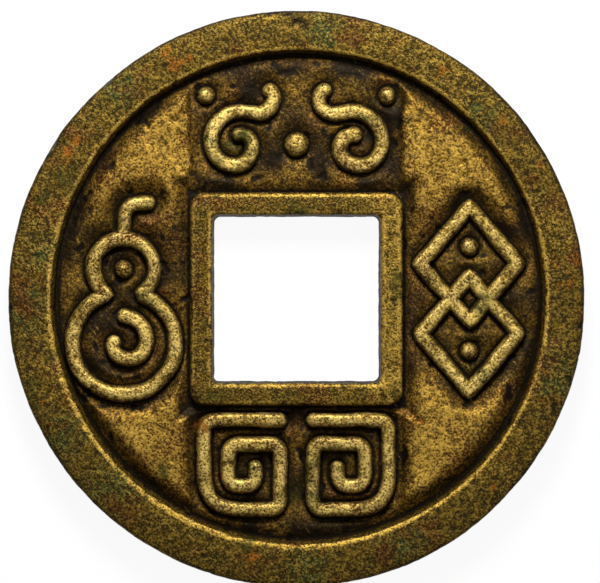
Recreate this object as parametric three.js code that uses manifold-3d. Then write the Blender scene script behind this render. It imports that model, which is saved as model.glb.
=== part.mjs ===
// A cast bronze cash coin: a round coin with a square hole, seen face up.
// One casting, given here as its named regions: the round rim, the thin web of the field, the square rim
// round the hole, four low raised corner fields, and the relief ornaments that stand on the web.
// Millimetres, +Z up. The coin lies on its back: Z is 0 on the table, and the origin is under its middle.
import * as THREE from "three";
import { mergeVertices } from "three/addons/utils/BufferGeometryUtils.js";
import Module from "manifold-3d";

const wasm = await Module();
wasm.setup();

// The whole coin
const coinDiameter = 30;
const coinThickness = 2;
const edgeRound = 0.24; // the worn outer edge
const edgeNickDepth = 0.16; // two small dents in the outer edge
const edgeNickWidth = 0.5;
const edgeNickAngles = [131, 148]; // degrees from +X

// The round rim and the thin web between the rims
const outerRimWidth = 2.12; // its flat top
const wallDraft = 0.3; // how far a rim's wall leans back from its foot to its top
const webThickness = 0.8;
const reverseRecess = 0.45; // how deep the plain back lies below its rims
const fieldShiftX = 0.13; // the field was cast a little off the coin's centre
const fieldShiftY = 0.1;

// The square rim and its hole
const holeSide = 8.7;
const innerRimWidth = 1.2; // at its foot
const innerRimLow = 0.07; // how far its top lies below the round rim's top
const innerRimBevel = 0.18;
const holeCornerRadius = 0.3;
const rimCornerRadius = 0.55;

// The relief strokes
const strokeWidth = 0.78; // at the foot
const strokeGap = 0.46; // bare web between neighbouring strokes of one ornament
const strokeHeight = 0.55;
const strokeBevel = 0.15;
const beadDiameter = 0.95;
const pearlDiameter = 1.3;
const gourdWaist = 0.9; // the opening between the gourd's body and neck
const moat = 0.36; // bare web between an ornament and a rim
const halvesGap = 0.95; // between the left and right half of the top and of the bottom ornament

// The ornaments' proportions
const curlCore = 0.62; // the innermost radius of a spiral, in stroke widths
const largeCurlShare = 0.44; // of the room across half of the top ornament
const smallCurlShare = 0.55; // of the large curl
const gourdNeckShare = 0.6; // of the gourd's body
const gourdNeckLift = 0.72; // from the top of the body to the middle of the neck, in neck radii
const stalkReach = 1.6; // how far the stalk's end turns aside, in stroke widths
const lozengeShare = 0.56; // a lozenge's height against the height of the pair
const lozengeBeadShare = 0.3; // how far a bead lies from its lozenge's middle, against half its height
const shortestSide = 0.7; // of a thunder spiral, in pitches

// The low raised corner fields
const cornerFieldRise = 0.27;
const cornerFieldBevel = 0.2;
const cornerFieldSlope = 0.3;
const cornerFieldTip = 0.45;
const cornerFieldMoat = 0.42; // bare web round a corner field
const cornerFieldRadius = 0.7;

// Facets
const coinFacets = 128;
const arcStep = THREE.MathUtils.degToRad(18);
const capFacets = 5;
const clear = 1; // how far a cutter runs past what it cuts

const coinRadius = coinDiameter / 2;
const webBottom = reverseRecess;
const webTop = webBottom + webThickness;
const rimFootRadius = coinRadius - outerRimWidth - wallDraft;
const holeHalf = holeSide / 2;
const innerRimHalf = holeHalf + innerRimWidth;
const innerRimTop = coinThickness - innerRimLow;
const pitch = strokeWidth + strokeGap;
const halfStroke = strokeWidth / 2;

// Ornaments keep to a circle that clears the rim's foot, although the field is off centre, and to a square
// that clears the inner rim's foot.
const reach = rimFootRadius - moat - Math.hypot(fieldShiftX, fieldShiftY);
const nearest = innerRimHalf + moat;
const ornamentHalf = innerRimHalf - moat; // half the width of the top and bottom ornaments

const point = (x, y) => new THREE.Vector2(x, y);
const polar = (centre, radius, angle) =>
  point(centre.x + radius * Math.cos(angle), centre.y + radius * Math.sin(angle));
const mirrored = (line) => line.map((p) => point(-p.x, p.y));

// Solids and cuts

function solidOf(geometry) {
  const loose = geometry.index ? geometry.toNonIndexed() : geometry;
  const bare = new THREE.BufferGeometry();
  bare.setAttribute("position", loose.getAttribute("position"));
  const merged = mergeVertices(bare, 1e-5);
  return new wasm.Manifold(
    new wasm.Mesh({
      numProp: 3,
      vertProperties: merged.attributes.position.array,
      triVerts: new Uint32Array(merged.index.array),
    }),
  );
}

function geometryOf(solid) {
  const mesh = solid.getMesh();
  const geometry = new THREE.BufferGeometry();
  geometry.setAttribute("position", new THREE.BufferAttribute(mesh.vertProperties, 3));
  geometry.setIndex(new THREE.BufferAttribute(mesh.triVerts, 1));
  const faceted = geometry.toNonIndexed();
  faceted.computeVertexNormals();
  return faceted;
}

// A solid turned about Z. The profile runs from the axis, out along the bottom, up and back, as
// [radius, height].
function turned(profile) {
  const geometry = new THREE.LatheGeometry(
    profile.map(([radius, height]) => point(radius, height)),
    coinFacets,
  );
  return geometry.rotateX(Math.PI / 2);
}

function prism(shape, bottom, top) {
  const geometry = new THREE.ExtrudeGeometry(shape, {
    depth: top - bottom,
    bevelEnabled: false,
    curveSegments: capFacets,
  });
  return geometry.translate(0, 0, bottom);
}

// A shape raised from the web, bevelled at its top edge only.
function raised(shape, height, bevelHeight, bevelWidth) {
  const buried = bevelHeight + clear;
  const geometry = new THREE.ExtrudeGeometry(shape, {
    depth: height + buried - 2 * bevelHeight,
    bevelEnabled: true,
    bevelThickness: bevelHeight,
    bevelSize: bevelWidth,
    bevelOffset: -bevelWidth,
    bevelSegments: 1,
    curveSegments: capFacets,
  });
  geometry.translate(0, 0, webTop + bevelHeight - buried);
  const below = new THREE.BoxGeometry(2 * coinDiameter, 2 * coinDiameter, 2 * clear + buried);
  below.translate(0, 0, webTop - clear - buried / 2);
  return solidOf(geometry).subtract(solidOf(below));
}

// Outlines

function roundedSquare(half, radius) {
  const inner = half - radius;
  const shape = new THREE.Shape();
  shape.absarc(inner, inner, radius, 0, Math.PI / 2, false);
  shape.absarc(-inner, inner, radius, Math.PI / 2, Math.PI, false);
  shape.absarc(-inner, -inner, radius, Math.PI, 1.5 * Math.PI, false);
  shape.absarc(inner, -inner, radius, 1.5 * Math.PI, 2 * Math.PI, false);
  shape.closePath();
  return shape;
}

// A stroke along an open centreline, with round ends.
function strokeShape(line, width = strokeWidth) {
  const half = width / 2;
  const sides = line.map((p, i) => {
    const before = line[Math.max(i - 1, 0)];
    const after = line[Math.min(i + 1, line.length - 1)];
    const along = after.clone().sub(before).normalize();
    return point(-along.y, along.x).multiplyScalar(half);
  });
  const cap = (centre, side) => {
    const from = Math.atan2(side.y, side.x);
    const steps = Array.from({ length: capFacets - 1 }, (_, k) => (k + 1) / capFacets);
    return steps.map((share) => polar(centre, half, from - share * Math.PI));
  };
  const last = line.length - 1;
  const left = line.map((p, i) => p.clone().add(sides[i]));
  const right = line.map((p, i) => p.clone().sub(sides[i])).reverse();
  return new THREE.Shape([
    ...left,
    ...cap(line[last], sides[last]),
    ...right,
    ...cap(line[0], sides[0].clone().negate()),
  ]);
}

// A stroke along a closed outline: each side lies half a stroke from the line.
function loopShape(line) {
  const offset = (by) =>
    line.map((p, i) => {
      const before = line[(i + line.length - 1) % line.length];
      const after = line[(i + 1) % line.length];
      const into = p.clone().sub(before).normalize();
      const out = after.clone().sub(p).normalize();
      const normal = point(into.y + out.y, -into.x - out.x).normalize();
      const mitre = by / Math.max(normal.dot(point(out.y, -out.x)), 0.5);
      return p.clone().addScaledVector(normal, mitre);
    });
  const shape = new THREE.Shape(offset(halfStroke));
  shape.holes.push(new THREE.Path(offset(-halfStroke)));
  return shape;
}

// Centrelines

function arc(centre, radius, from, to) {
  const steps = Math.max(2, Math.ceil(Math.abs(to - from) / arcStep));
  return Array.from({ length: steps + 1 }, (_, i) => polar(centre, radius, from + ((to - from) * i) / steps));
}

// Turns in from the outer radius at a steady pitch, and stops before the middle closes up.
function spiral(centre, outer, from, way, innermost = curlCore * strokeWidth) {
  const sweep = (2 * Math.PI * Math.max(outer - innermost, 0)) / pitch;
  const steps = Math.max(3, Math.ceil(sweep / arcStep));
  return Array.from({ length: steps + 1 }, (_, i) => {
    const turn = (sweep * i) / steps;
    return polar(centre, outer - (pitch * turn) / (2 * Math.PI), from + way * turn);
  });
}

// Two spirals that turn opposite ways, joined by the line that touches both.
function doubleScroll(a, radiusA, b, radiusB, way) {
  const between = b.clone().sub(a);
  const lean = Math.acos(Math.min((radiusA + radiusB) / between.length(), 1));
  const heading = Math.atan2(between.y, between.x) + way * lean;
  const first = spiral(a, radiusA, heading, way).reverse();
  const second = spiral(b, radiusB, heading + Math.PI, way);
  return [...first, ...second];
}

// A line through the corners, each rounded by its own radius: [x, y, radius].
function rounded(corners) {
  const line = [];
  corners.forEach(([x, y, radius], i) => {
    const corner = point(x, y);
    if (i === 0 || i === corners.length - 1) {
      line.push(corner);
      return;
    }
    const back = point(corners[i - 1][0], corners[i - 1][1]).sub(corner).normalize();
    const on = point(corners[i + 1][0], corners[i + 1][1]).sub(corner).normalize();
    const bend = Math.PI - Math.acos(THREE.MathUtils.clamp(back.dot(on), -1, 1));
    const trim = radius * Math.tan(bend / 2);
    const curve = new THREE.QuadraticBezierCurve(
      corner.clone().addScaledVector(back, trim),
      corner,
      corner.clone().addScaledVector(on, trim),
    );
    line.push(...curve.getPoints(Math.max(2, Math.round(bend / arcStep))));
  });
  return line;
}

// The casting's main regions

function outerRim() {
  const bend = edgeRound * (1 - Math.SQRT1_2);
  const disc = turned([
    [0, 0],
    [coinRadius - edgeRound, 0],
    [coinRadius - bend, bend],
    [coinRadius, edgeRound],
    [coinRadius, coinThickness - edgeRound],
    [coinRadius - bend, coinThickness - bend],
    [coinRadius - edgeRound, coinThickness],
    [0, coinThickness],
  ]);
  const leanFront = wallDraft / (coinThickness - webTop);
  const leanBack = wallDraft / webBottom;
  const opening = turned([
    [0, -clear],
    [rimFootRadius + leanBack * (webBottom + clear), -clear],
    [rimFootRadius, webBottom],
    [rimFootRadius, webTop],
    [rimFootRadius + leanFront * (coinThickness + clear - webTop), coinThickness + clear],
    [0, coinThickness + clear],
  ]);
  opening.translate(fieldShiftX, fieldShiftY, 0);
  return edgeNickAngles.reduce(
    (rim, degrees) => rim.subtract(edgeNick(degrees)),
    solidOf(disc).subtract(solidOf(opening)),
  );
}

// A three-sided dent in the upper outer edge.
function edgeNick(degrees) {
  const shape = new THREE.Shape([
    point(coinRadius - edgeNickDepth, 0),
    point(coinRadius + edgeNickDepth, -edgeNickWidth),
    point(coinRadius + edgeNickDepth, edgeNickWidth),
  ]);
  const nick = prism(shape, coinThickness - edgeNickWidth, coinThickness + clear);
  return solidOf(nick.rotateZ(THREE.MathUtils.degToRad(degrees)));
}

function fieldWeb() {
  const disc = turned([
    [0, webBottom],
    [rimFootRadius, webBottom],
    [rimFootRadius, webTop],
    [0, webTop],
  ]);
  disc.translate(fieldShiftX, fieldShiftY, 0);
  const opening = prism(roundedSquare(innerRimHalf, rimCornerRadius), webBottom - clear, webTop + clear);
  return solidOf(disc).subtract(solidOf(opening));
}

function innerRim() {
  const shape = roundedSquare(innerRimHalf, rimCornerRadius);
  shape.holes.push(roundedSquare(holeHalf, holeCornerRadius));
  const geometry = new THREE.ExtrudeGeometry(shape, {
    depth: innerRimTop - 2 * innerRimBevel,
    bevelEnabled: true,
    bevelThickness: innerRimBevel,
    bevelSize: innerRimBevel,
    bevelOffset: -innerRimBevel,
    bevelSegments: 1,
    curveSegments: capFacets,
  });
  return solidOf(geometry.translate(0, 0, innerRimBevel));
}

// Fills the corner between the rim, the upright ornament and the sideways ornament. Its two tips are cut off.
function cornerField(acrossX, acrossY) {
  const left = ornamentHalf + cornerFieldMoat;
  const low = sideHalf + cornerFieldMoat;
  const edge = rimFootRadius - cornerFieldMoat - Math.hypot(fieldShiftX, fieldShiftY);
  const tip = cornerFieldTip / edge;
  const along = arc(point(0, 0), edge, Math.asin(low / edge) + tip, Math.acos(left / edge) - tip);
  const last = along.at(-1);
  const sides = rounded([
    [left, last.y - cornerFieldTip, 0],
    [left, low, cornerFieldRadius],
    [along[0].x - cornerFieldTip, low, 0],
  ]);
  const outline = [...sides, ...along].map((p) => point(acrossX * p.x, acrossY * p.y));
  return raised(new THREE.Shape(outline), cornerFieldRise, cornerFieldBevel, cornerFieldSlope);
}

// The ornaments

const relief = (shape) => raised(shape, strokeHeight, strokeBevel, strokeBevel);
const bead = (x, y, diameter = beadDiameter) =>
  relief(new THREE.Shape(arc(point(x, y), diameter / 2, 0, 2 * Math.PI).slice(0, -1)));

// Top: a pair of cloud scrolls. Each is a large curl by the hole and a small curl under the rim.
// A pearl lies between the large curls, and a bead outside each small one, clear of the large curl under it.
const curlRoom = ornamentHalf - halvesGap / 2;
const curlHeight = reach - nearest - strokeWidth - 2 * beadDiameter;
const largeCurl = Math.min(largeCurlShare * (curlRoom - strokeWidth), curlHeight / 2);
const smallCurl = smallCurlShare * largeCurl;
const largeCurlY = nearest + halfStroke + largeCurl;
const outerBeadX = ornamentHalf - beadDiameter / 2;
const outerBeadY = Math.sqrt((reach - beadDiameter / 2) ** 2 - outerBeadX ** 2);

function cloudScroll(side) {
  const large = point(ornamentHalf - halfStroke - largeCurl, largeCurlY);
  const smallX = halvesGap / 2 + halfStroke + smallCurl;
  const smallY = Math.sqrt((reach - halfStroke - smallCurl) ** 2 - smallX ** 2);
  const line = doubleScroll(large, largeCurl, point(smallX, smallY), smallCurl, -1);
  return relief(strokeShape(side < 0 ? mirrored(line) : line));
}

// Bottom: a pair of squared thunder spirals. The corner under the rim is round, to follow it.
// The line winds in until there is no room for another side.
function thunderSpiral(half) {
  const bend = 0.5 * pitch;
  const west = halvesGap / 2 + halfStroke;
  const east = ornamentHalf - halfStroke;
  const north = -(nearest + halfStroke);
  const wide = Math.min(1.5 * pitch, (east - west) / 2);
  const south = -(wide / 2 + Math.sqrt((reach - halfStroke - wide / 2) ** 2 - (east - wide / 2) ** 2));
  const corners = [
    [west, north, 0],
    [east, north, bend],
    [east, south, wide],
    [west, south, bend],
  ];
  const sides = [north, east, south, west];
  const inward = [-1, -1, 1, 1];
  for (let side = sides.length, room = Infinity; room >= pitch; side += 1) {
    const wall = side % sides.length;
    const upright = wall % 2 === 0;
    const next = sides[wall] + inward[wall] * pitch * Math.floor(side / sides.length);
    const [x, y] = corners.at(-1);
    room = -inward[wall] * (next - (upright ? y : x));
    if (room >= shortestSide * pitch) corners.push(upright ? [x, next, bend] : [next, y, bend]);
  }
  const line = rounded(corners);
  return relief(strokeShape(half < 0 ? mirrored(line) : line));
}

// The sideways ornaments fit between the inner rim and the round rim, this far above and below the middle.
const sideRoom = (reach - nearest) / 2;
const sideCentre = nearest + sideRoom;
const sideHalf = innerRimHalf - 0.5 * moat;

// Left: a bottle gourd with a curl in its body, a bead in its neck and a stalk.
const stalkRoom = 1.5 * strokeWidth;
const gourdHeightShare = 2 + gourdNeckShare * (1 + gourdNeckLift); // of the whole outline, in body radii
const gourdHeight = 2 * (sideHalf - halfStroke) - stalkRoom;
const gourdBody = Math.min(sideRoom - halfStroke, gourdHeight / gourdHeightShare);
const gourdNeck = gourdNeckShare * gourdBody;
const gourdCentre = point(-sideCentre, -(sideHalf - gourdBody - halfStroke));
const neckCentre = point(-sideCentre, gourdCentre.y + gourdBody + gourdNeckLift * gourdNeck);

// One side of the outline's stroke, this far outside its centreline: two arcs that meet at the waist. Where
// they don't reach each other, on the inside, the waist is left open by its own width.
function gourdContour(by) {
  const apart = neckCentre.y - gourdCentre.y;
  const body = gourdBody + by;
  const neck = gourdNeck + by;
  const crossing = (near, far) => Math.acos((near ** 2 + apart ** 2 - far ** 2) / (2 * near * apart));
  const meet = body + neck > apart;
  const bodyTurn = meet ? crossing(body, neck) : Math.asin(gourdWaist / 2 / body);
  const neckTurn = meet ? crossing(neck, body) : Math.asin(gourdWaist / 2 / neck);
  const up = Math.PI / 2;
  const line = [
    ...arc(gourdCentre, body, up + bodyTurn, up - bodyTurn + 2 * Math.PI),
    ...arc(neckCentre, neck, -up + neckTurn, 3 * up - neckTurn).slice(meet ? 1 : 0),
  ];
  if (meet) line.pop();
  return line;
}

function gourdOutline() {
  const outline = new THREE.Shape(gourdContour(halfStroke));
  outline.holes.push(new THREE.Path(gourdContour(-halfStroke)));
  const stalkTop = sideHalf - halfStroke;
  const stalk = rounded([
    [neckCentre.x, neckCentre.y + gourdNeck, 0],
    [neckCentre.x, stalkTop, strokeWidth],
    [neckCentre.x + stalkReach * strokeWidth, stalkTop, 0],
  ]);
  return relief(outline).add(relief(strokeShape(stalk)));
}

const gourdCurl = () =>
  relief(strokeShape(spiral(gourdCentre, gourdBody - pitch, Math.PI / 2, -1)));

const gourdBeadDiameter = Math.min(beadDiameter, 2 * (gourdNeck - pitch + halfStroke));
const gourdBead = () => bead(neckCentre.x, neckCentre.y, gourdBeadDiameter);

// Right: two lozenges, one above the other and linked, with a bead in each.
const lozengeHalfWidth = sideRoom - halfStroke * Math.SQRT2;
const lozengeHalfHeight = lozengeShare * sideHalf;
const lozengeShift = sideHalf - lozengeHalfHeight - halfStroke * Math.SQRT2;
const lozengeBeadY = lozengeShift + lozengeBeadShare * lozengeHalfHeight;

function linkedLozenges() {
  const lozenge = (y) =>
    relief(
      loopShape([
        point(sideCentre, y + lozengeHalfHeight),
        point(sideCentre - lozengeHalfWidth, y),
        point(sideCentre, y - lozengeHalfHeight),
        point(sideCentre + lozengeHalfWidth, y),
      ]),
    );
  return lozenge(lozengeShift).add(lozenge(-lozengeShift));
}

// The materials: the worn high parts are brighter than the web and the rim.
const bronze = (color, roughness) => new THREE.MeshStandardMaterial({ color, roughness, metalness: 0.8 });
const rimBronze = bronze("#5c4f2a", 0.55);
const fieldBronze = bronze("#4a3a1c", 0.65);
const cornerBronze = bronze("#7a6636", 0.55);
const wornBronze = bronze("#a08c52", 0.45);

const coin = new THREE.Group();

function add(name, solid, material) {
  const mesh = new THREE.Mesh(geometryOf(solid), material);
  mesh.name = name;
  coin.add(mesh);
}

add("outer_rim", outerRim(), rimBronze);
add("field_web", fieldWeb(), fieldBronze);
add("inner_rim", innerRim(), rimBronze);

for (const [name, x, y] of [
  ["upper_left", -1, 1],
  ["upper_right", 1, 1],
  ["lower_left", -1, -1],
  ["lower_right", 1, -1],
]) {
  add(`corner_field_${name}`, cornerField(x, y), cornerBronze);
}

for (const [name, side] of [
  ["left", -1],
  ["right", 1],
]) {
  add(`cloud_scroll_${name}`, cloudScroll(side), wornBronze);
  add(`thunder_spiral_${name}`, thunderSpiral(side), wornBronze);
}

add("cloud_pearl", bead(0, largeCurlY, pearlDiameter), wornBronze);
add("cloud_bead_left", bead(-outerBeadX, outerBeadY), wornBronze);
add("cloud_bead_right", bead(outerBeadX, outerBeadY), wornBronze);
add("gourd_outline", gourdOutline(), wornBronze);
add("gourd_curl", gourdCurl(), wornBronze);
add("gourd_bead", gourdBead(), wornBronze);
add("linked_lozenges", linkedLozenges(), wornBronze);
add("lozenge_bead_upper", bead(sideCentre, lozengeBeadY), wornBronze);
add("lozenge_bead_lower", bead(sideCentre, -lozengeBeadY), wornBronze);

export default coin;
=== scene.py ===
"""A worn bronze cash coin with a square hole, lying face up on a pale table."""
import math

import bpy
import numpy as np
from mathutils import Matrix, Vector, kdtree


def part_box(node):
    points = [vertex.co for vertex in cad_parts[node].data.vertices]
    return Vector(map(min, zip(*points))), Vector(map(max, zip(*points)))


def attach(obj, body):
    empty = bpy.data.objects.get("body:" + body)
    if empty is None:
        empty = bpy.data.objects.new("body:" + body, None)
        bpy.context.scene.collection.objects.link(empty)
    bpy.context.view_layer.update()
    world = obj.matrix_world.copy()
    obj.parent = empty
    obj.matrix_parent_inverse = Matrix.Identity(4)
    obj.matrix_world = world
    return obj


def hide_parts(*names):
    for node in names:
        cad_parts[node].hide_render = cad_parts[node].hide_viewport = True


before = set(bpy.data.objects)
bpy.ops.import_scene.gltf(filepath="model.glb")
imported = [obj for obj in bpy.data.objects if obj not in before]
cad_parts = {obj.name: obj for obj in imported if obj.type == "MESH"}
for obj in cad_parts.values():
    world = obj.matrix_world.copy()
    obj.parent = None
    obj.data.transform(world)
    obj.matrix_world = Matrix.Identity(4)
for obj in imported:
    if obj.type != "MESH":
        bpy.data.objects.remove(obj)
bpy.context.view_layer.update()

MM = 0.001
SEED = 7

# Sizes in mm, as the frame has them
_, rim_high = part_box("outer_rim")
web_low, web_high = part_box("field_web")
_, square_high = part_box("inner_rim")
COIN_RADIUS = rim_high.x / MM
COIN_TOP = rim_high.z / MM
WEB_BOTTOM = web_low.z / MM
WEB_TOP = web_high.z / MM
FIELD_X = (web_low.x + web_high.x) / 2 / MM
FIELD_Y = (web_low.y + web_high.y) / 2 / MM
FOOT_RADIUS = (web_high.x - web_low.x) / 2 / MM
SQUARE_HALF = square_high.x / MM
SQUARE_TOP = square_high.z / MM

# Sizes in mm that the frame's boxes don't give
WALL_DRAFT = 0.3  # how far the round rim's wall leans back
HOLE_HALF = 4.35
HOLE_CORNER = 0.3
SQUARE_CORNER = 0.55
STROKE = 0.78  # at its foot
PITCH = 1.24  # from one turn of a spiral to the next
MOAT = 0.36  # bare field between an ornament and a rim
HALVES_GAP = 0.95  # between the halves of the top and of the bottom ornament
BEAD = 0.95
PEARL = 1.3
SEAM = 0.15  # how far neighbouring regions run into each other, so that no gap shows
NICK_ANGLES = (131, 148)  # degrees from +X, two dents in the outer edge
NICK_DEPTH = 0.16
NICK_WIDTH = 0.35

HALF = STROKE / 2
REACH = FOOT_RADIUS - MOAT - math.hypot(FIELD_X, FIELD_Y)
NEAREST = SQUARE_HALF + MOAT
ORNAMENT_HALF = SQUARE_HALF - MOAT

# Spots of orange-brown rust and of green, as seen from above: x, y and radius in mm
RUST_SPOTS = [
    (-6.8, 12.7, 0.35), (-5.5, 12.6, 0.3), (-11.5, 8.2, 0.3), (-13.2, -5.3, 0.35), (-2.2, -13.4, 0.4),
    (7.6, 11.9, 0.3), (12.7, 7.1, 0.35), (14.5, 2.1, 0.5), (14.0, 0.8, 0.6), (10.3, -9.8, 0.4),
    (13.4, 1.9, 0.4), (-6.2, 12.2, 0.5), (-11.9, 7.6, 0.5), (10.6, 9.3, 0.4), (-4.9, -6.6, 0.5),
    (6.4, -6.2, 0.35),
]
GREEN_SPOTS = [
    (-9.2, 10.8, 1.5), (-13.3, 2.5, 1.2), (-12.3, -7.3, 1.6), (5.5, -12.8, 1.3), (9.5, 9.5, 1.1),
    (13.6, -4.0, 1.8), (-14.0, -0.5, 1.6), (-9.8, -10.0, 1.8), (0.5, -14.0, 1.5), (-4.0, 8.0, 0.9),
    (-2.5, -9.0, 1.0), (9.5, -3.5, 0.9), (1.5, 13.8, 1.3),
]


# Noise that depends only on the place and the layer

CELL_PRIMES = (73856093, 19349663, 83492791)  # large primes keep neighbouring cells unlike each other
SEED_PRIME = 2654435761
MIXING_PRIME = 1274126177


def hashed(cell, seed):
    """A value from 0 to 1 for each cell, with no order from one to the next."""
    x, y, z = (cell * CELL_PRIMES).T
    n = x ^ y ^ z ^ seed * SEED_PRIME
    n = (n ^ (n >> 13)) * MIXING_PRIME & 0xFFFFFFFF
    return ((n ^ (n >> 16)) & 0xFFFF) / 0xFFFF


def noise(points, size, layer):
    """Smooth noise from 0 to 1 with features of that size in mm. Each layer has a pattern of its own."""
    grid = points / size
    cell = np.floor(grid).astype(np.int64)
    part = grid - cell
    part = part * part * (3 - 2 * part)
    total = np.zeros(len(points))
    for step in np.ndindex(2, 2, 2):
        share = np.prod(np.where(step, part, 1 - part), axis=1)
        total += share * hashed(cell + step, SEED + layer)
    return total


def smooth(low, high, value):
    """0 at low, 1 at high, and an even slope between."""
    t = np.clip((value - low) / (high - low), 0, 1)
    return t * t * (3 - 2 * t)


# Centrelines of the ornaments, in mm

ARC_STEP = math.radians(8)
CURL_CORE = 0.62 * STROKE  # the innermost radius of a spiral


def polar(centre, radius, angle):
    return (centre[0] + radius * math.cos(angle), centre[1] + radius * math.sin(angle))


def arc(centre, radius, start, end):
    steps = max(2, math.ceil(abs(end - start) / ARC_STEP))
    return [polar(centre, radius, start + (end - start) * i / steps) for i in range(steps + 1)]


def spiral(centre, outer, start, way):
    """Turns in from the outer radius at a steady pitch."""
    sweep = 2 * math.pi * max(outer - CURL_CORE, 0) / PITCH
    steps = max(3, math.ceil(sweep / ARC_STEP))
    turns = [sweep * i / steps for i in range(steps + 1)]
    return [polar(centre, outer - PITCH * t / (2 * math.pi), start + way * t) for t in turns]


def double_scroll(a, radius_a, b, radius_b, way):
    """Two spirals joined by the line that touches both."""
    dx, dy = b[0] - a[0], b[1] - a[1]
    lean = math.acos(min((radius_a + radius_b) / math.hypot(dx, dy), 1))
    heading = math.atan2(dy, dx) + way * lean
    first = spiral(a, radius_a, heading, way)[::-1]
    return first + spiral(b, radius_b, heading + math.pi, way)


def rounded(corners):
    """A line through the corners, each rounded by its own radius: (x, y, radius)."""
    line = []
    for i, (x, y, radius) in enumerate(corners):
        if i in (0, len(corners) - 1):
            line.append((x, y))
            continue
        corner = np.array((x, y))
        back = np.array(corners[i - 1][:2]) - corner
        on = np.array(corners[i + 1][:2]) - corner
        back, on = back / np.linalg.norm(back), on / np.linalg.norm(on)
        bend = math.pi - math.acos(float(np.clip(back @ on, -1, 1)))
        start, end = (corner + side * radius * math.tan(bend / 2) for side in (back, on))
        for t in np.linspace(0, 1, 9):
            line.append(tuple((1 - t) ** 2 * start + 2 * t * (1 - t) * corner + t * t * end))
    return line


def mirrored(line):
    return [(-x, y) for x, y in line]


# The top pair of curls
LARGE_CURL = 0.44 * (ORNAMENT_HALF - HALVES_GAP / 2 - STROKE)
SMALL_CURL = 0.55 * LARGE_CURL
LARGE_CURL_Y = NEAREST + HALF + LARGE_CURL
OUTER_BEAD_X = ORNAMENT_HALF - BEAD / 2
OUTER_BEAD_Y = math.sqrt((REACH - BEAD / 2) ** 2 - OUTER_BEAD_X**2)

# The ornaments at the sides
SIDE_ROOM = (REACH - NEAREST) / 2
SIDE_X = NEAREST + SIDE_ROOM
SIDE_HALF = SQUARE_HALF - 0.5 * MOAT

# The gourd, with its body and its neck as circles, and its stalk
GOURD_BODY = SIDE_ROOM - HALF
GOURD_NECK = 0.6 * GOURD_BODY
GOURD = (-SIDE_X, -(SIDE_HALF - GOURD_BODY - HALF))
NECK = (-SIDE_X, GOURD[1] + GOURD_BODY + 0.72 * GOURD_NECK)
STALK_TOP = SIDE_HALF - HALF
STALK_REACH = 1.6 * STROKE
GOURD_BEAD = min(BEAD, 2 * (GOURD_NECK - PITCH + HALF))

# The lozenges and the beads in them
LOZENGE_W = SIDE_ROOM - HALF * math.sqrt(2)
LOZENGE_H = 0.56 * SIDE_HALF
LOZENGE_SHIFT = SIDE_HALF - LOZENGE_H - HALF * math.sqrt(2)
BEAD_SHIFT = LOZENGE_SHIFT + 0.3 * LOZENGE_H


def cloud_scroll():
    small_x = HALVES_GAP / 2 + HALF + SMALL_CURL
    small_y = math.sqrt((REACH - HALF - SMALL_CURL) ** 2 - small_x**2)
    large = (ORNAMENT_HALF - HALF - LARGE_CURL, LARGE_CURL_Y)
    return double_scroll(large, LARGE_CURL, (small_x, small_y), SMALL_CURL, -1)


def thunder_spiral():
    bend, wide = 0.5 * PITCH, 1.5 * PITCH
    inner, outer = HALVES_GAP / 2 + HALF, ORNAMENT_HALF - HALF
    top = -(NEAREST + HALF)
    bottom = -(wide / 2 + math.sqrt((REACH - HALF - wide / 2) ** 2 - (outer - wide / 2) ** 2))
    return rounded([
        (inner, top, 0), (outer, top, bend), (outer, bottom, wide), (inner, bottom, bend),
        (inner, top - PITCH, bend), (outer - PITCH, top - PITCH, bend),
        (outer - PITCH, bottom + PITCH, bend), (inner + PITCH, bottom + PITCH, bend),
        (inner + PITCH, top - 2 * PITCH, 0),
    ])


def gourd_outline():
    """Two arcs that meet at the waist."""
    apart = NECK[1] - GOURD[1]
    body = math.acos((GOURD_BODY**2 + apart**2 - GOURD_NECK**2) / (2 * GOURD_BODY * apart))
    neck = math.acos((GOURD_NECK**2 + apart**2 - GOURD_BODY**2) / (2 * GOURD_NECK * apart))
    up = math.pi / 2
    line = arc(GOURD, GOURD_BODY, up + body, up - body + 2 * math.pi)
    return (line + arc(NECK, GOURD_NECK, -up + neck, 3 * up - neck)[1:])[:-1]


def gourd_stalk():
    x, foot = NECK[0], NECK[1] + GOURD_NECK
    return rounded([(x, foot, 0), (x, STALK_TOP, STROKE), (x + STALK_REACH, STALK_TOP, 0)])


def lozenge(y):
    left, right = SIDE_X - LOZENGE_W, SIDE_X + LOZENGE_W
    return [(SIDE_X, y + LOZENGE_H), (left, y), (SIDE_X, y - LOZENGE_H), (right, y)]


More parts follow.
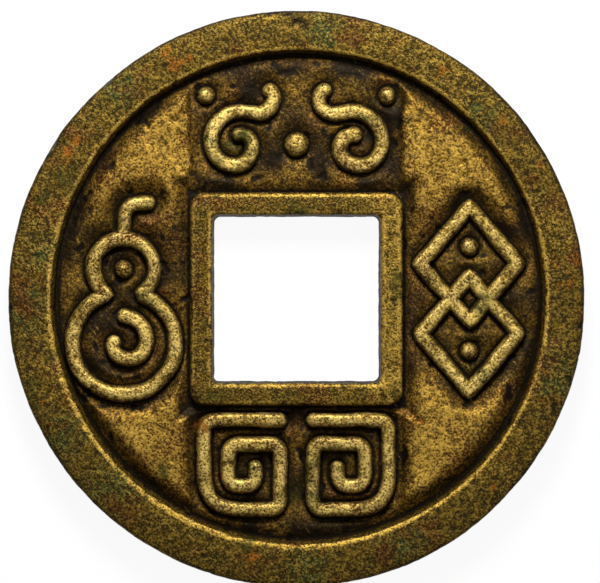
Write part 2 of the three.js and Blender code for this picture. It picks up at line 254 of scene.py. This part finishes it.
# Each ornament node has its open strokes, its closed strokes and its beads (x, y, diameter).
scroll, thunder = cloud_scroll(), thunder_spiral()
gourd_curl = spiral(GOURD, GOURD_BODY - PITCH, math.pi / 2, -1)
ORNAMENTS = {
    "cloud_scroll_left": ([mirrored(scroll)], [], []),
    "cloud_scroll_right": ([scroll], [], []),
    "cloud_pearl": ([], [], [(0, LARGE_CURL_Y, PEARL)]),
    "cloud_bead_left": ([], [], [(-OUTER_BEAD_X, OUTER_BEAD_Y, BEAD)]),
    "cloud_bead_right": ([], [], [(OUTER_BEAD_X, OUTER_BEAD_Y, BEAD)]),
    "thunder_spiral_left": ([mirrored(thunder)], [], []),
    "thunder_spiral_right": ([thunder], [], []),
    "gourd_outline": ([gourd_stalk()], [gourd_outline()], []),
    "gourd_curl": ([gourd_curl], [], []),
    "gourd_bead": ([], [], [(*NECK, GOURD_BEAD)]),
    "linked_lozenges": ([], [lozenge(LOZENGE_SHIFT), lozenge(-LOZENGE_SHIFT)], []),
    "lozenge_bead_upper": ([], [], [(SIDE_X, BEAD_SHIFT, BEAD)]),
    "lozenge_bead_lower": ([], [], [(SIDE_X, -BEAD_SHIFT, BEAD)]),
}


# Meshes

def evenly(line, spacing, closed=False):
    """The line as points at that spacing in mm."""
    points = np.array(line + [line[0]] if closed else line, dtype=float)
    along = np.concatenate([[0], np.cumsum(np.linalg.norm(np.diff(points, axis=0), axis=1))])
    count = max(4, round(along[-1] / spacing))
    at = np.linspace(0, along[-1], count + 1)[: count if closed else count + 1]
    return np.stack([np.interp(at, along, points[:, axis]) for axis in range(2)], axis=1)


def quads(rows, columns, wrap_rows):
    """Faces of a grid that closes on itself along its columns, and along its rows too if asked."""
    row_list = np.arange(rows if wrap_rows else rows - 1)
    row, column = np.meshgrid(row_list, np.arange(columns), indexing="ij")
    here, below = row * columns, (row + 1) % rows * columns
    right = (column + 1) % columns
    corners = [here + column, here + right, below + right, below + column]
    return [tuple(face) for face in np.stack(corners, axis=-1).reshape(-1, 4).tolist()]


def closed_grid(rings):
    """Points and faces of a ring of rings."""
    return rings.reshape(-1, 3), quads(*rings.shape[:2], True)


def capped_grid(rings):
    """Points and faces of a tube of rings with a point at each end."""
    rows, columns = rings.shape[:2]
    points = np.concatenate([rings.reshape(-1, 3), rings[:1].mean(axis=1), rings[-1:].mean(axis=1)])
    first, last = rows * columns, rows * columns + 1
    faces = quads(rows, columns, False)
    for c in range(columns):
        after = (c + 1) % columns
        faces.append((first, after, c))
        faces.append((last, first - columns + c, first - columns + after))
    return points, faces


def outward(points, faces):
    """The same faces, turned to face out. A sample of them tells which way they face."""
    sampled = 20000
    volume = 0.0
    for face in faces[:: max(1, len(faces) // sampled)]:
        a, b, c = (points[i] for i in face[:3])
        volume += float(np.dot(a, np.cross(b, c)))
        if len(face) == 4:
            volume += float(np.dot(a, np.cross(c, points[face[3]])))
    return faces if volume > 0 else [face[::-1] for face in faces]


def spots(points, places, ragged):
    """1 in each spot, with a ragged edge, and 0 away from them."""
    value = np.zeros(len(points))
    edge = (0.6 * noise(points, 0.35, 3) + 0.4 * noise(points, 0.18, 19) - 0.5) * 2 * ragged
    for x, y, radius in places:
        near = 1 - (np.hypot(points[:, 0] - x, points[:, 1] - y) + edge) / radius
        value = np.maximum(value, smooth(0, 0.6, near))
    return value


def make(name, shells, material, nodes, pits, wear_and_light, dirt_and_shade):
    """A weathered piece from closed shells in mm, pitted to that depth in mm. The last two functions turn its
    points into values from 0 to 1, which the material reads: worn metal with some painted light, and grime
    with painted shade."""
    points = np.concatenate([shell[0] for shell in shells])
    faces = []
    start = 0
    for shell_points, shell_faces in shells:
        faces += [tuple(i + start for i in face) for face in outward(shell_points, shell_faces)]
        start += len(shell_points)
    mesh = bpy.data.meshes.new(name)
    mesh.from_pydata((points * MM).tolist(), [], faces)
    mesh.update()
    normals = np.empty(len(points) * 3)
    mesh.vertices.foreach_get("normal", normals)

    # A fine grain, soft lumps, and chips with ragged edges whose deepest parts are hollows
    grain = noise(points, 0.22, 0) - 0.5
    lumps = noise(points, 0.9, 1) - 0.5
    ragged = points + 0.25 * (noise(points, 0.3, 13) - 0.5)[:, None]
    chips = 0.6 * noise(ragged, 0.37, 2) + 0.4 * noise(ragged[:, [1, 0, 2]] * 1.3, 0.6, 14)
    hollows = smooth(0.64, 0.86, chips)
    shift = pits * (0.6 * grain + 0.7 * lumps - hollows - 0.3)
    moved = points + normals.reshape(-1, 3) * shift[:, None]
    mesh.vertices.foreach_set("co", (moved * MM).ravel())

    values = {
        "wear_and_light": np.clip(wear_and_light(points) + 0.5 * grain - 0.5 * hollows, 0, 1),
        # grime and painted shade, darker still in the chips' hollows
        "dirt_and_shade": np.clip(dirt_and_shade(points) + 0.45 * hollows, 0, 1),
        "rust": spots(points, RUST_SPOTS, 0.35),
        "green": spots(points, GREEN_SPOTS, 1.0),
    }
    for key, data in values.items():
        mesh.attributes.new(key, "FLOAT", "POINT").data.foreach_set("value", data)
    mesh.polygons.foreach_set("use_smooth", [True] * len(mesh.polygons))
    mesh.update()
    mesh.materials.append(material)
    piece = bpy.data.objects.new(name, mesh)
    bpy.context.collection.objects.link(piece)
    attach(piece, "root")
    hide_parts(*nodes)


# The square rim: a rounded square of columns, and the same columns serve the field round it

COLUMNS = 900
CORNER_COLUMNS = 25


def square_ring(half, radius):
    """Points round a rounded square, always with the same columns on each side and corner."""
    inner = half - radius
    side_columns = COLUMNS // 4 - CORNER_COLUMNS
    ring = []
    for quarter in range(4):
        turn = quarter * math.pi / 2
        for i in range(side_columns):
            ring.append((half, -inner + 2 * inner * i / side_columns, turn))
        for i in range(CORNER_COLUMNS):
            angle = math.pi / 2 * i / CORNER_COLUMNS
            ring.append((inner + radius * math.cos(angle), inner + radius * math.sin(angle), turn))
    return np.array([
        (x * math.cos(t) - y * math.sin(t), x * math.sin(t) + y * math.cos(t)) for x, y, t in ring
    ])


def lift(flat, z):
    """Flat points at that height, or each at its own."""
    return np.column_stack([flat, np.broadcast_to(np.asarray(z, dtype=float), len(flat))])


def loop_profile(corners, spacing):
    """A closed profile with rounded corners, as evenly spaced points: (out, up, radius)."""
    return evenly(rounded([corners[-1], *corners, corners[0]])[1:-1], spacing, closed=True)


def square_shell():
    wide = SQUARE_HALF - HOLE_HALF
    back_edge, hole_edge, outer_edge = 0.25, 0.3, 0.34  # how round the worn edges are
    corner_wear = 0.25  # how much rounder the outer corners are than when they were cast
    flare = 0.1  # how far the hole narrows at its back
    profile = loop_profile([
        (0, SQUARE_TOP, hole_edge), (0, 0, back_edge), (wide, 0, back_edge), (wide, SQUARE_TOP, outer_edge),
    ], 0.09)
    rings = []
    for out, height in profile:
        narrower = flare * float(smooth(0.5 * SQUARE_TOP, 0, height)) if out < flare else 0
        corner = HOLE_CORNER + out / wide * (SQUARE_CORNER + corner_wear - HOLE_CORNER)
        rings.append(lift(square_ring(HOLE_HALF + out - narrower, corner), height))
    return closed_grid(np.array(rings))


# The field: grooves round the strokes and rims, low mounds in the corners

GROOVE_DEPTH = 0.1
GROOVE_WIDTH = 0.22
CORNER_RISE = 0.3
SWELL = 0.07  # how far the bare field stands above the foot of a groove's bank
UNEVEN = 0.06  # the casting's slow rise and fall
FIELD_ROWS = 92
BACK_ROWS = 14


def feature_tree():
    """All the ornaments' centrelines, for the distance from a point of the field to the nearest stroke."""
    spacing, smallest = 0.08, 0.02
    samples = []
    for open_lines, loops, beads in ORNAMENTS.values():
        samples += [evenly(line, spacing) for line in open_lines]
        samples += [evenly(line, spacing, closed=True) for line in loops]
        samples += [np.array(arc((x, y), max(d / 2 - HALF, smallest), 0, 2 * math.pi)) for x, y, d in beads]
    flat = np.concatenate(samples)
    tree = kdtree.KDTree(len(flat))
    for i, (x, y) in enumerate(flat):
        tree.insert((x, y, 0), i)
    tree.balance()
    return tree


TREE = feature_tree()


def to_feature(points):
    """Distance in mm from each point of the field to the nearest stroke or rim, seen from above."""
    stroke = np.array([TREE.find((x, y, 0))[2] for x, y in points[:, :2]]) - HALF
    rim = FOOT_RADIUS - np.hypot(points[:, 0] - FIELD_X, points[:, 1] - FIELD_Y)
    square = np.maximum(abs(points[:, 0]), abs(points[:, 1])) - SQUARE_HALF
    return np.minimum(np.minimum(stroke, rim), square)


def in_corner(points):
    """1 in the four raised corner fields: a sharp edge towards the upper and lower panels, a soft one
    towards the ornaments at the sides."""
    stray = 0.25 * (noise(points, 1.5, 4) - 0.5)
    across = smooth(SQUARE_HALF - 0.25, SQUARE_HALF + 0.1, abs(points[:, 0]) + stray)
    along = smooth(2.0, 6.5, abs(points[:, 1]) + stray)
    return across * along


def field_height(flat):
    points = lift(flat, 0)
    gap = to_feature(points)
    groove = GROOVE_DEPTH * np.exp(-np.square(np.maximum(gap, 0) / GROOVE_WIDTH))
    mound = CORNER_RISE * in_corner(points) * smooth(0.1, 0.95, gap)
    swell = SWELL * smooth(0.15, 0.7, gap) + UNEVEN * (noise(points, 1.6, 5) - 0.5)
    return WEB_TOP - groove + mound + swell


def field_shell():
    inner = square_ring(SQUARE_HALF - SEAM, SQUARE_CORNER)
    angles = np.arctan2(inner[:, 1], inner[:, 0])
    circle = (FOOT_RADIUS + SEAM) * np.stack([np.cos(angles), np.sin(angles)], axis=1)
    circle = circle + np.array((FIELD_X, FIELD_Y))
    top = [(1 - t) * inner + t * circle for t in np.linspace(0, 1, FIELD_ROWS)]
    back = [(1 - t) * inner + t * circle for t in np.linspace(1, 0, BACK_ROWS)]
    rings = [lift(flat, field_height(flat)) for flat in top] + [lift(flat, WEB_BOTTOM) for flat in back]
    return closed_grid(np.array(rings))


# The round rim

RIM_COLUMNS = 1150
WALL_STRAY = 0.12  # how far the wall wanders from a true circle
EDGE_STRAY = 0.11  # how far the outer edge is worn in from one
CROWN = 0.05  # how far the top is worn down towards its edges


def rim_shell():
    slope = FOOT_RADIUS + WALL_DRAFT
    seat, back_edge, wall_edge, outer_edge = 0.02, 0.2, 0.3, 0.34  # how round the edges are
    profile = loop_profile([
        (FOOT_RADIUS, WEB_TOP - SEAM, seat), (slope, COIN_TOP, wall_edge),
        (COIN_RADIUS, COIN_TOP, outer_edge), (COIN_RADIUS, 0, outer_edge),
        (slope, 0, back_edge), (FOOT_RADIUS, WEB_BOTTOM + SEAM, seat),
    ], 0.1)
    angle = np.linspace(0, 2 * math.pi, RIM_COLUMNS, endpoint=False)
    walk = 6.0  # radius of the circle in the noise, which sets how many waves go round
    wobble = noise(lift(walk * np.stack([np.cos(angle), np.sin(angle)], axis=1), 0), 2.5, 6) - 0.5
    turned = np.degrees(angle)[:, None] - np.array(NICK_ANGLES)
    dents = np.exp(-np.square(np.radians(turned) * COIN_RADIUS / NICK_WIDTH)).sum(axis=1)
    rings = []
    for radius, height in profile:
        inside = (COIN_RADIUS - radius) / (COIN_RADIUS - FOOT_RADIUS)
        upper = float(smooth(0.6 * COIN_TOP, COIN_TOP, height))
        worn_in = EDGE_STRAY * abs(wobble) + NICK_DEPTH * dents * upper
        out = radius + WALL_STRAY * wobble * inside - worn_in * (1 - inside)
        x = out * np.cos(angle) + FIELD_X * inside
        y = out * np.sin(angle) + FIELD_Y * inside
        down = CROWN * (1 - math.sin(math.pi * min(max(inside, 0), 1))) if height > COIN_TOP - CROWN else 0
        rings.append(np.stack([x, y, np.full(len(angle), height - down)], axis=1))
    return closed_grid(np.array(rings))


# The relief

STROKE_TOP = 0.56  # above the web
STROKE_SINK = 0.06  # how far the foot of a stroke lies under the flat web
STROKE_ROOT = 0.14  # how far its section goes on below its foot
STROKE_SPACING = 0.07
CAP_RINGS = 6


def stroke_section():
    """Half widths and heights round one ridge with a broad crown and steep sides. 1 is the full half width and
    the full height, and -1 is the root."""
    across = np.sin(np.linspace(-math.pi / 2, math.pi / 2, 19))
    ridge = (1 - abs(across) ** 4.5) ** 0.9
    bottom = np.linspace(1, -1, 7)[1:-1]
    return np.concatenate([across, bottom]), np.concatenate([ridge, np.full(len(bottom), -1.0)])


ACROSS, RIDGE = stroke_section()


def stroke_shell(line, closed, plane):
    """A worn, rounded ridge along a centreline. Its plane in the noise makes it wander in its own way."""
    points = evenly(line, STROKE_SPACING, closed)
    spread = lift(points, plane)
    drift = np.stack([noise(spread, 1.1, 8) - 0.5, noise(spread, 1.1, 9) - 0.5], axis=1)
    points = points + 0.12 * drift
    if closed:
        along = np.roll(points, -1, axis=0) - np.roll(points, 1, axis=0)
    else:
        along = np.gradient(points, axis=0)
    along = along / np.linalg.norm(along, axis=1)[:, None]
    side = np.stack([-along[:, 1], along[:, 0]], axis=1)
    width = 1.12 * HALF * (1 + 0.22 * (noise(spread, 1.3, 10) - 0.5))
    height = STROKE_TOP * (1 + 0.24 * (noise(spread, 1.7, 11) - 0.65))
    scale = np.ones(len(points))
    if not closed:
        caps = np.sin(np.linspace(0, math.pi / 2, CAP_RINGS + 2)[1:-1])
        reach = HALF * np.sqrt(1 - caps**2)
        start = points[0] - along[0] * reach[:, None]
        end = points[-1] + along[-1] * reach[::-1][:, None]
        points = np.concatenate([start, points, end])
        ends = (CAP_RINGS, CAP_RINGS)
        side = np.pad(side, (ends, (0, 0)), mode="edge")
        width, height = np.pad(width, ends, mode="edge"), np.pad(height, ends, mode="edge")
        scale = np.concatenate([caps, scale, caps[::-1]])
    flat = points[:, None] + side[:, None] * (ACROSS[None, :] * (width * scale)[:, None])[:, :, None]
    above = RIDGE * (height * scale**0.6 + STROKE_SINK)[:, None]
    up = WEB_TOP - STROKE_SINK + np.where(RIDGE > 0, above, RIDGE * STROKE_ROOT)
    rings = np.concatenate([flat, up[:, :, None]], axis=2)
    return closed_grid(rings) if closed else capped_grid(rings)


def bead_shell(x, y, diameter):
    """A low round boss."""
    angle = np.linspace(0, 2 * math.pi, 48, endpoint=False)
    round_line = np.stack([np.cos(angle), np.sin(angle)], axis=1)
    radius = 1.08 * diameter / 2
    smallest = 0.03  # share of the radius of the ring round each end's point
    oval = (1 + 0.03 * np.sin(2 * angle + x))[:, None]
    rings = []
    for t in np.linspace(smallest, 1, 12):
        top = WEB_TOP - STROKE_SINK + (STROKE_TOP + STROKE_SINK) * (1 - t**2.8) ** 0.8
        rings.append(lift((x, y) + radius * t * oval * round_line, top))
    for t in (1, 0.5, smallest):
        rings.append(lift((x, y) + radius * t * round_line, WEB_TOP - SEAM))
    return capped_grid(np.array(rings))


# Materials

def linear(text):
    """An sRGB hex colour as linear RGBA."""
    parts = [int(text[i : i + 2], 16) / 255 for i in (1, 3, 5)]
    return (*[p / 12.92 if p <= 0.04045 else ((p + 0.055) / 1.055) ** 2.4 for p in parts], 1)


def add(tree, kind, output, inputs, **settings):
    """Adds a node and gives one of its outputs. An input is a constant or another node's output."""
    node = tree.nodes.new(kind)
    for key, value in settings.items():
        setattr(node, key, value)
    for key, value in inputs.items():
        if isinstance(value, bpy.types.NodeSocket):
            tree.links.new(value, node.inputs[key])
        else:
            node.inputs[key].default_value = value
    return node.outputs[output] if output is not None else None


MIX_A, MIX_B, MIX_COLOR = 6, 7, 2  # the Mix node's colour sockets, whose names aren't theirs alone

# What the ground and the hands left on the bronze. The crust colour also serves as painted shade.
CRUST_AND_SHADE = "#140d03"
PEPPER = "#241705"
PORES = "#1d1304"
STAIN = "#54290a"
OLIVE = "#464212"
VERDIGRIS = "#3b441c"
RUST = "#8c5414"

# The patterns' sizes in mm and their detail. The casting's real grit is about 0.05 mm, too fine to show, and
# is drawn at 0.12 mm.
SPECKLES = {"fine": (0.16, 3), "middle": (0.45, 4), "broad": (3.0, 3), "grit": (0.12, 1), "stain": (1.9, 5)}
SCRATCH_WIDTH = 0.13
SCRATCH_STRETCH = 16
SCRATCH_ANGLE = 0.7


def cast_bronze(name, ground, worn, bright):
    """Cast bronze, aged in the ground: dark crust and painted shade in the hollows, bare yellow metal where
    hands wore it and painted light on the square rim's right side, fine pits all over, patches of green and
    spots of rust. It gives a speckled, half matt look."""
    material = bpy.data.materials.new(name)
    material.use_nodes = True
    tree = material.node_tree
    tree.nodes.clear()
    place = add(tree, "ShaderNodeTexCoord", "Object", {})
    seen = {key: add(tree, "ShaderNodeAttribute", "Fac", {}, attribute_name=key)
            for key in ("wear_and_light", "dirt_and_shade", "rust", "green")}
    for key, (size, detail) in SPECKLES.items():
        inputs = {"Vector": place, "Scale": 1 / (size * MM), "Detail": detail, "Roughness": 0.65}
        seen[key] = add(tree, "ShaderNodeTexNoise", "Fac", inputs)
    fine, middle, grit = seen["fine"], seen["middle"], seen["grit"]
    turned = {"Vector": place, "Rotation": (0, 0, SCRATCH_ANGLE), "Scale": (1, SCRATCH_STRETCH, 1)}
    slant = add(tree, "ShaderNodeMapping", "Vector", turned, vector_type="TEXTURE")
    inputs = {"Vector": slant, "Scale": 1 / (SCRATCH_WIDTH * MM), "Detail": 2}
    scratch = add(tree, "ShaderNodeTexNoise", "Fac", inputs)

    # Worn places and places with crust take more or less of the fine speckle with them. The worn mask also
    # carries painted light, and the crust mask painted shade.
    sums = {
        # bright metal where worn, and painted light on the square rim's right side
        "rubbed_and_lit": (fine, 0.9, seen["wear_and_light"]),
        "caked_and_shaded": (fine, 0.5, seen["dirt_and_shade"]),
        "salt": (seen["wear_and_light"], 0.6, 0.22),
    }
    for key, (value, share, more) in sums.items():
        inputs = {0: value, 1: share, 2: more}
        seen[key] = add(tree, "ShaderNodeMath", 0, inputs, operation="MULTIPLY_ADD")

    # Each layer of colour lies where its pattern rises from the first value to the second, this strongly.
    layers = [
        (middle, 0.35, 0.65, 1, worn),
        (seen["rubbed_and_lit"], 0.75, 1.35, 1, bright),
        (middle, 0.4, 0.6, seen["green"], VERDIGRIS),
        (seen["stain"], 0.5, 0.64, 0.7, STAIN),
        (grit, 0.5, 0.62, seen["salt"], bright),
        (seen["broad"], 0.58, 0.75, 1, OLIVE),
        # near-black crust, which also paints the shade in the grooves and down the walls
        (seen["caked_and_shaded"], 0.55, 1.1, 1, CRUST_AND_SHADE),
        (fine, 0.57, 0.7, 1, PEPPER),
        (scratch, 0.62, 0.72, seen["wear_and_light"], bright),
        (grit, 0.5, 0.36, 0.7, PORES),
    ]
    color = linear(ground)
    for pattern, low, high, strength, over in layers:
        inputs = {"Value": pattern, "From Min": low, "From Max": high, "To Max": strength}
        mask = add(tree, "ShaderNodeMapRange", "Result", inputs, interpolation_type="SMOOTHSTEP")
        inputs = {"Factor": mask, MIX_A: color, MIX_B: linear(over)}
        color = add(tree, "ShaderNodeMix", MIX_COLOR, inputs, data_type="RGBA")
    gritty = seen["rust"]
    for pattern, low, high in ((grit, 0.36, 0.56), (middle, 0.38, 0.58)):
        inputs = {"Value": pattern, "From Min": low, "From Max": high, "To Max": gritty}
        gritty = add(tree, "ShaderNodeMapRange", "Result", inputs, interpolation_type="SMOOTHSTEP")
    inputs = {"Factor": gritty, MIX_A: color, MIX_B: linear(RUST)}
    color = add(tree, "ShaderNodeMix", MIX_COLOR, inputs, data_type="RGBA")

    inputs = {"Height": grit, "Strength": 0.7, "Distance": 0.04 * MM}
    bump = add(tree, "ShaderNodeBump", "Normal", inputs)
    rough = add(tree, "ShaderNodeMapRange", "Result", {"Value": fine, "To Min": 0.48, "To Max": 0.72})
    inputs = {"Base Color": color, "Metallic": 0.85, "Roughness": rough, "Normal": bump}
    shader = add(tree, "ShaderNodeBsdfPrincipled", "BSDF", inputs)
    add(tree, "ShaderNodeOutputMaterial", None, {"Surface": shader})
    return material


rim_bronze = cast_bronze("cast_bronze_rim", "#3a2f08", "#644d12", "#b8963e")
field_bronze = cast_bronze("cast_bronze_field", "#44300a", "#7c5a18", "#be983e")
worn_bronze = cast_bronze("cast_bronze_relief", "#5c430f", "#94752c", "#d8bb66")


# Where each piece is worn and where it is dirty, with painted light and painted shade among them, from 0 to 1.
# Distances are in mm.

def rim_wear(points):
    """A thin bright line along the wall's top edge, and faint cloudy rubbing on the flat top."""
    out = np.hypot(points[:, 0] - 0.7 * FIELD_X, points[:, 1] - 0.7 * FIELD_Y)
    lip = np.exp(-np.square((out - FOOT_RADIUS - WALL_DRAFT - 0.06) / 0.13))
    upper = smooth(COIN_TOP - 0.35, COIN_TOP, points[:, 2])
    return upper * (0.1 + 1.1 * lip + 0.4 * (noise(points, 2.2, 12) - 0.45))


def rim_dirt_and_shade(points):
    """Darker towards the outer edge, and painted shade down the wall towards the field."""
    out = np.hypot(points[:, 0], points[:, 1])
    edge = 0.6 * smooth(COIN_RADIUS - 1.4, COIN_RADIUS - 0.4, out)
    edge = edge + 0.5 * smooth(COIN_RADIUS - 0.35, COIN_RADIUS, out)
    edge = edge * (0.5 + noise(points, 1.4, 18))
    wall = smooth(COIN_TOP - 0.2, WEB_TOP, points[:, 2])
    return np.maximum(0.55 * edge, 0.75 * wall)


def field_wear(points):
    """Cloudy rubbed patches on the corner mounds, and a little on the open field."""
    gap = to_feature(points)
    mound = (0.2 + 0.45 * noise(points, 2.4, 15)) * in_corner(points) * smooth(0.3, 1.3, gap)
    return 0.08 + mound + 0.12 * smooth(0.3, 0.8, gap)


def field_dirt_and_shade(points):
    """Black in the grooves, as grime and painted shade, and dark over the panels between the corners."""
    gap = np.maximum(to_feature(points), 0)
    bare = 1 - in_corner(points) * smooth(0.25, 1.1, gap)
    panel = 0.6 * bare * (0.6 + 0.8 * noise(points, 1.2, 17))
    return np.maximum(0.95 * np.exp(-np.square(gap / 0.24)), panel)


def square_wear_and_light(points):
    """Thin bright worn lines along both top edges, and painted light that makes the right side brighter."""
    out = np.maximum(abs(points[:, 0]), abs(points[:, 1]))
    # Painted light: the right side of the square rim is made lighter, as if lit from the right.
    right = 0.3 * smooth(HOLE_HALF - 1, HOLE_HALF, points[:, 0])
    nearest_edge = np.minimum(abs(out - HOLE_HALF - 0.14), abs(out - SQUARE_HALF + 0.16))
    lip = 0.6 * np.exp(-np.square(nearest_edge / 0.1)) * (0.4 + noise(points, 1.1, 20))
    return (0.2 + right + lip) * smooth(SQUARE_TOP - 0.3, SQUARE_TOP - 0.05, points[:, 2])


def square_dirt_and_shade(points):
    # Grime and painted shade: darker down its walls, both into the hole and towards the field.
    return 0.85 * smooth(SQUARE_TOP - 0.1, SQUARE_TOP - 0.6, points[:, 2])


def stroke_wear(points):
    cloudy = 0.75 + 0.5 * noise(points, 1.9, 16)
    return 0.62 * smooth(WEB_TOP + 0.15, WEB_TOP + 0.45, points[:, 2]) * cloudy


def stroke_dirt_and_shade(points):
    # Grime and painted shade: darker towards the foot of each stroke.
    return 0.95 * smooth(WEB_TOP + 0.32, WEB_TOP - 0.02, points[:, 2])


# The pieces

CORNERS = [f"corner_field_{v}_{h}" for v in ("upper", "lower") for h in ("left", "right")]
make("coin_rim", [rim_shell()], rim_bronze, ["outer_rim"], 0.05, rim_wear, rim_dirt_and_shade)
make("coin_field", [field_shell()], field_bronze, ["field_web", *CORNERS], 0.05, field_wear, field_dirt_and_shade)
make("square_rim", [square_shell()], rim_bronze, ["inner_rim"], 0.045, square_wear_and_light, square_dirt_and_shade)
for number, (node, (open_lines, loops, beads)) in enumerate(ORNAMENTS.items()):
    shells = [stroke_shell(line, False, 3 * number) for line in open_lines]
    shells += [stroke_shell(line, True, 3 * number + 1) for line in loops]
    shells += [bead_shell(*bead) for bead in beads]
    make(f"relief_{node}", shells, worn_bronze, [node], 0.035, stroke_wear, stroke_dirt_and_shade)

# The pale table. The camera and reflections see it nearly white, with the coin's shadow on it.

FLOOR_HALF = 5.0  # in m, so that it fills the lowest views
WHITENESS = 0.93
floor_mesh = bpy.data.meshes.new("table")
floor_corners = [(x * FLOOR_HALF, y * FLOOR_HALF, 0) for x, y in ((-1, -1), (1, -1), (1, 1), (-1, 1))]
floor_mesh.from_pydata(floor_corners, [], [(0, 1, 2, 3)])
floor = bpy.data.objects.new("table", floor_mesh)
bpy.context.collection.objects.link(floor)

table = bpy.data.materials.new("white_paper")
table.use_nodes = True
paper = table.node_tree
paper.nodes.clear()
matt = add(paper, "ShaderNodeBsdfDiffuse", "BSDF", {"Color": linear("#f4f4f4")})
glow = add(paper, "ShaderNodeEmission", "Emission", {"Color": (1, 1, 1, 1), "Strength": 1.0})
white = add(paper, "ShaderNodeLightPath", "Is Camera Ray", {})
for kind in ("Is Glossy Ray", "Is Transmission Ray"):
    ray = add(paper, "ShaderNodeLightPath", kind, {})
    white = add(paper, "ShaderNodeMath", 0, {0: white, 1: ray}, operation="MAXIMUM")
share = add(paper, "ShaderNodeMath", 0, {0: white, 1: WHITENESS}, operation="MULTIPLY")
blended = add(paper, "ShaderNodeMixShader", "Shader", {0: share, 1: matt, 2: glow})
add(paper, "ShaderNodeOutputMaterial", None, {"Surface": blended})
floor_mesh.materials.append(table)

# Light: soft, from above and from the top of the photograph. Places and sizes are in m.

world = bpy.data.worlds.new("studio")
bpy.context.scene.world = world
world.use_nodes = True
sky = world.node_tree.nodes["Background"]
sky.inputs["Color"].default_value = (1, 1, 1, 1)
sky.inputs["Strength"].default_value = 0.2


def lamp(name, place, size, watts):
    data = bpy.data.lights.new(name, "AREA")
    data.size = size
    data.energy = watts
    light = bpy.data.objects.new(name, data)
    light.location = place
    light.rotation_euler = (-light.location).to_track_quat("-Z", "Y").to_euler()
    bpy.context.collection.objects.link(light)


lamp("key", (-0.002, 0.068, 0.066), 0.035, 0.145)
lamp("fill", (0.2, -0.02, 0.2), 0.2, 0.14)

# Camera: straight above, a long way off, as wide as the photograph. These are in mm.

VIEW_WIDTH = 31.15
VIEW_CENTRE = (0.187, 0.389)
CAMERA_HEIGHT = 400.0
camera_data = bpy.data.cameras.new("camera")
camera_data.lens = camera_data.sensor_width * (CAMERA_HEIGHT - COIN_TOP) / VIEW_WIDTH
camera_data.clip_start = 0.01
camera_data.clip_end = 10
camera = bpy.data.objects.new("camera", camera_data)
camera.location = [distance * MM for distance in (*VIEW_CENTRE, CAMERA_HEIGHT)]
bpy.context.collection.objects.link(camera)
bpy.context.scene.camera = camera
bpy.context.scene.view_settings.view_transform = "Standard"
